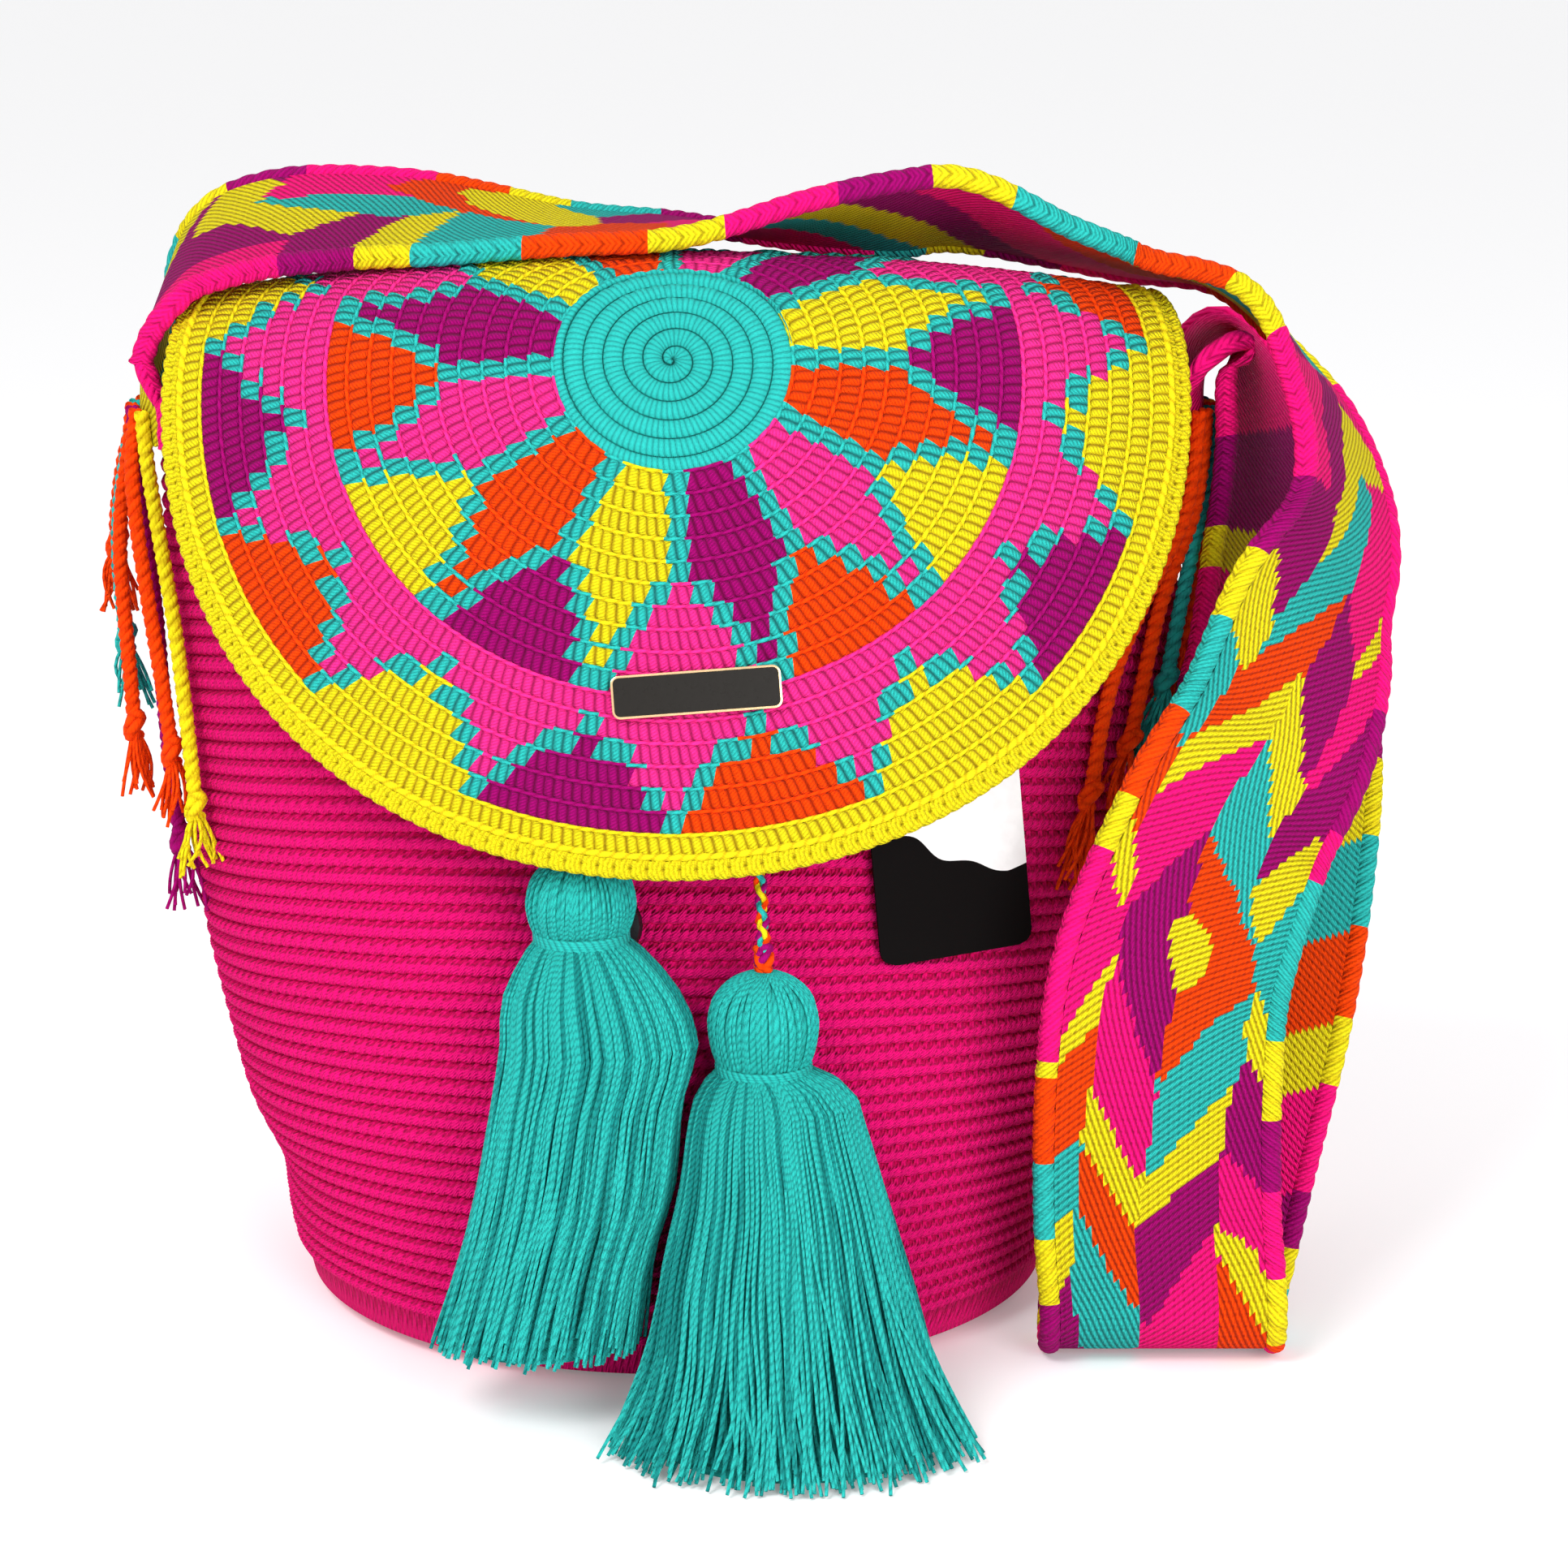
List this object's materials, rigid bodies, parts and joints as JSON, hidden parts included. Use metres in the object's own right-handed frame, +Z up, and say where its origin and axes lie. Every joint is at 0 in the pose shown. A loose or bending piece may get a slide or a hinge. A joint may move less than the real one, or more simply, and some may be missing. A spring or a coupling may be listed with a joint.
{
  "type": "crocheted shoulder bag",
  "caption": "Round-based soft crocheted bag with a round flap, a wide woven shoulder strap, a drawstring with hanging tassels and fringe cords at the strap ends.",
  "frame": {"origin": "middle of the flat round base, on the surface the bag stands on", "axes": "+X to the right as seen from the front, along the wide mouth and the strap's arch; -Y to the front, where the flap and tassels are; +Z up"},
  "size_m": [0.3374, 0.2707, 0.2955],
  "materials": {
    "pink yarn": "matte crocheted cotton yarn, ridged rows",
    "patterned crochet": "matte crocheted cotton in teal, yellow, orange, pink and purple",
    "woven strap": "matte woven band in slanted stripes with braided edges",
    "teal yarn": "matte twisted cotton yarn",
    "yellow yarn": "matte twisted cotton yarn",
    "orange yarn": "matte twisted cotton yarn",
    "purple yarn": "matte twisted cotton yarn",
    "braided cord": "matte round braid in four colours",
    "dark plate": "dark enamel with a thin brass rim",
    "card": "matte card, black below and pale above",
    "snap metal": "dark satin metal"
  },
  "bodies": {
    "root": {"bag_body": "pink yarn", "flap": "patterned crochet", "strap": "woven strap", "tassel_left": "teal yarn", "tassel_left_tie": "teal yarn", "tassel_right": "teal yarn", "tassel_right_tie": "teal yarn", "drawstring": "braided cord", "name_plate": "dark plate", "hang_tag": "card", "snap_body": "snap metal", "snap_flap": "snap metal", "fringe_left_1": "yellow yarn", "fringe_left_2": "orange yarn", "fringe_left_3": "purple yarn", "fringe_left_4": "orange yarn", "fringe_left_5": "teal yarn", "fringe_left_6": "orange yarn", "fringe_right_1": "orange yarn", "fringe_right_2": "orange yarn", "fringe_right_3": "teal yarn", "fringe_right_4": "orange yarn", "fringe_right_5": "yellow yarn", "fringe_right_6": "teal yarn", "fringe_right_7": "purple yarn"}
  },
  "joints": []
}
